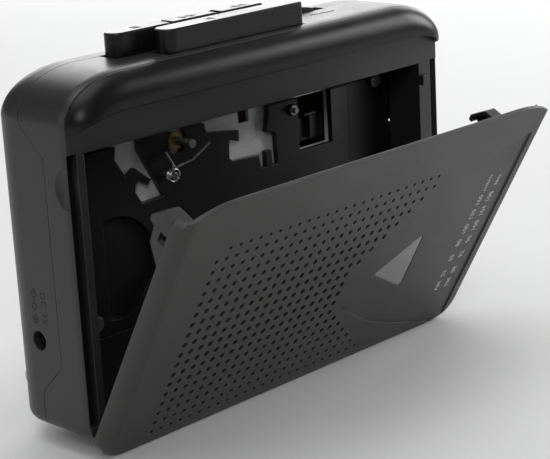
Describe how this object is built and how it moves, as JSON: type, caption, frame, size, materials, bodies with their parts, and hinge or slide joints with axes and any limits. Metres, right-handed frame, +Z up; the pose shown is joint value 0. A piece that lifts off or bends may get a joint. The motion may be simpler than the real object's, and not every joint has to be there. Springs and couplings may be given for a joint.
{
  "type": "portable cassette player",
  "caption": "Pocket cassette player and radio with a bottom-hinged perforated door, open, over the tape deck, and piano keys, volume wheel and tuning wheel on its edges.",
  "frame": {"origin": "middle of the base of the case, half way through its depth, on the plane that it stands on", "axes": "+X along the width, to the right when the door is seen from the front; +Y from the door to the back; +Z up, towards the keys"},
  "size_m": [0.1272, 0.0659, 0.092],
  "materials": {
    "case_plastic": "fine moulded grain, charcoal black",
    "band_plastic": "fine moulded grain, black",
    "door_plastic": "fine moulded grain, warm dark grey",
    "key_plastic": "smooth moulded black",
    "deck_plastic": "smooth moulded black",
    "window_plastic": "glossy smoked grey",
    "wheel_plastic": "moulded black with a notched rim",
    "reel_plastic": "smooth moulded black",
    "gear_plastic": "natural white nylon",
    "zinc": "bright zinc-plated sheet",
    "steel": "ground steel",
    "nickel": "nickel plated",
    "bearing": "turned brass",
    "rubber": "matt black rubber",
    "board": "phenolic board",
    "ferrite": "sintered dark grey",
    "copper": "enamelled copper wire"
  },
  "bodies": {
    "case": {"front_housing": "case_plastic", "front_trim": "band_plastic", "rear_cover": "case_plastic", "battery_bay": "deck_plastic", "case_screws": "steel", "door_hinge_pins": "steel", "door_catch": "case_plastic", "deck_cover": "deck_plastic", "chassis_plate": "zinc", "pinch_pivot": "steel", "capstan_bush": "bearing", "thrust_plate": "zinc", "motor_can": "zinc", "drive_belt": "rubber", "reel_shafts": "steel", "idler_shaft": "steel", "brake_spring": "steel", "locating_pin": "steel", "deck_screws": "steel", "leaf_switch": "deck_plastic", "play_spring": "steel", "stop_spring": "steel", "rewind_spring": "steel", "forward_spring": "steel", "key_shelf": "zinc", "circuit_board": "board", "volume_control": "deck_plastic", "tuning_capacitor": "deck_plastic", "band_switch": "deck_plastic", "dc_jack": "deck_plastic", "headphone_jack": "deck_plastic", "ferrite_rod": "ferrite", "antenna_coil": "copper", "battery_contacts": "nickel"},
    "door": {"door_panel": "door_plastic", "triangle_window": "window_plastic", "door_holder_left": "door_plastic", "door_holder_right": "door_plastic"},
    "play_button": {"play_key": "key_plastic"},
    "head_slide": {"head_plate": "zinc", "play_head": "nickel"},
    "pinch_lever": {"pinch_arm": "zinc"},
    "pinch_wheel": {"pinch_roller": "rubber"},
    "stop_button": {"stop_key": "key_plastic"},
    "rewind_button": {"rewind_key": "key_plastic"},
    "forward_button": {"forward_key": "key_plastic"},
    "capstan": {"flywheel": "steel", "capstan_shaft": "steel"},
    "pulley": {"motor_pulley": "bearing"},
    "idler": {"idler_gear": "gear_plastic"},
    "supply": {"supply_reel": "reel_plastic"},
    "takeup": {"takeup_reel": "reel_plastic"},
    "volume": {"volume_wheel": "wheel_plastic"},
    "tuning": {"tuning_wheel": "wheel_plastic"},
    "band": {"band_knob": "key_plastic"},
    "battery_lid": {"battery_cover": "case_plastic"}
  },
  "joints": [
    {"name": "door_hinge", "type": "hinge", "parent": "case", "child": "door", "pos_m": [0, -0.0044, 0.0018], "axis": [1, 0, 0], "range_deg": [-29.4, 0]},
    {"name": "play_key_travel", "type": "slide", "parent": "case", "child": "play_button", "axis": [0, 0, 1], "range_m": [-0.0045, 0], "stiffness_N_per_m": 300, "springref_m": 0.003, "deforming": ["play_spring"]},
    {"name": "head_travel", "type": "slide", "parent": "case", "child": "head_slide", "axis": [0, 0, 1], "range_m": [-0.0045, 0]},
    {"name": "pinch_swing", "type": "hinge", "parent": "case", "child": "pinch_lever", "pos_m": [-0.0345, 0, 0.0717], "axis": [0, 1, 0], "range_deg": [0, 27.6]},
    {"name": "roller_spin", "type": "hinge", "parent": "pinch_lever", "child": "pinch_wheel", "pos_m": [-0.0215, 0, 0.0717], "axis": [0, 1, 0], "continuous": true},
    {"name": "stop_key_travel", "type": "slide", "parent": "case", "child": "stop_button", "axis": [0, 0, 1], "range_m": [-0.004, 0], "stiffness_N_per_m": 300, "springref_m": 0.003, "deforming": ["stop_spring"]},
    {"name": "rewind_key_travel", "type": "slide", "parent": "case", "child": "rewind_button", "axis": [0, 0, 1], "range_m": [-0.004, 0], "stiffness_N_per_m": 300, "springref_m": 0.003, "deforming": ["rewind_spring"]},
    {"name": "forward_key_travel", "type": "slide", "parent": "case", "child": "forward_button", "axis": [0, 0, 1], "range_m": [-0.004, 0], "stiffness_N_per_m": 300, "springref_m": 0.003, "deforming": ["forward_spring"]},
    {"name": "flywheel_spin", "type": "hinge", "parent": "case", "child": "capstan", "pos_m": [-0.0208, 0, 0.0597], "axis": [0, 1, 0], "continuous": true},
    {"name": "motor_spin", "type": "hinge", "parent": "case", "child": "pulley", "pos_m": [-0.0419, 0, 0.0339], "axis": [0, 1, 0], "continuous": true},
    {"name": "idler_spin", "type": "hinge", "parent": "case", "child": "idler", "pos_m": [-0.01374, 0, 0.05281], "axis": [0, 1, 0], "continuous": true},
    {"name": "supply_spin", "type": "hinge", "parent": "case", "child": "supply", "pos_m": [-0.0225, 0, 0.0312], "axis": [0, 1, 0], "continuous": true},
    {"name": "takeup_spin", "type": "hinge", "parent": "case", "child": "takeup", "pos_m": [0.02, 0, 0.0312], "axis": [0, 1, 0], "continuous": true},
    {"name": "volume_turn", "type": "hinge", "parent": "case", "child": "volume", "pos_m": [0.028, 0, 0.0742], "axis": [0, 1, 0], "range_deg": [-135, 135]},
    {"name": "tuning_turn", "type": "hinge", "parent": "case", "child": "tuning", "pos_m": [0.0532, 0, 0.04], "axis": [0, 1, 0], "range_deg": [-90, 90]},
    {"name": "band_slide", "type": "slide", "parent": "case", "child": "band", "axis": [0, 0, 1], "range_m": [-0.0024, 0.0024]},
    {"name": "battery_lid_off", "type": "slide", "parent": "case", "child": "battery_lid", "axis": [0, 1, 0], "range_m": [0, 0.02]}
  ],
  "couplings": [
    {"joint": "head_travel", "follows": "play_key_travel", "ratio": 1},
    {"joint": "pinch_swing", "follows": "play_key_travel", "rad_per_m": -106.6},
    {"joint": "motor_spin", "follows": "flywheel_spin", "ratio": 4.2333},
    {"joint": "idler_spin", "follows": "flywheel_spin", "ratio": -0.31818}
  ]
}
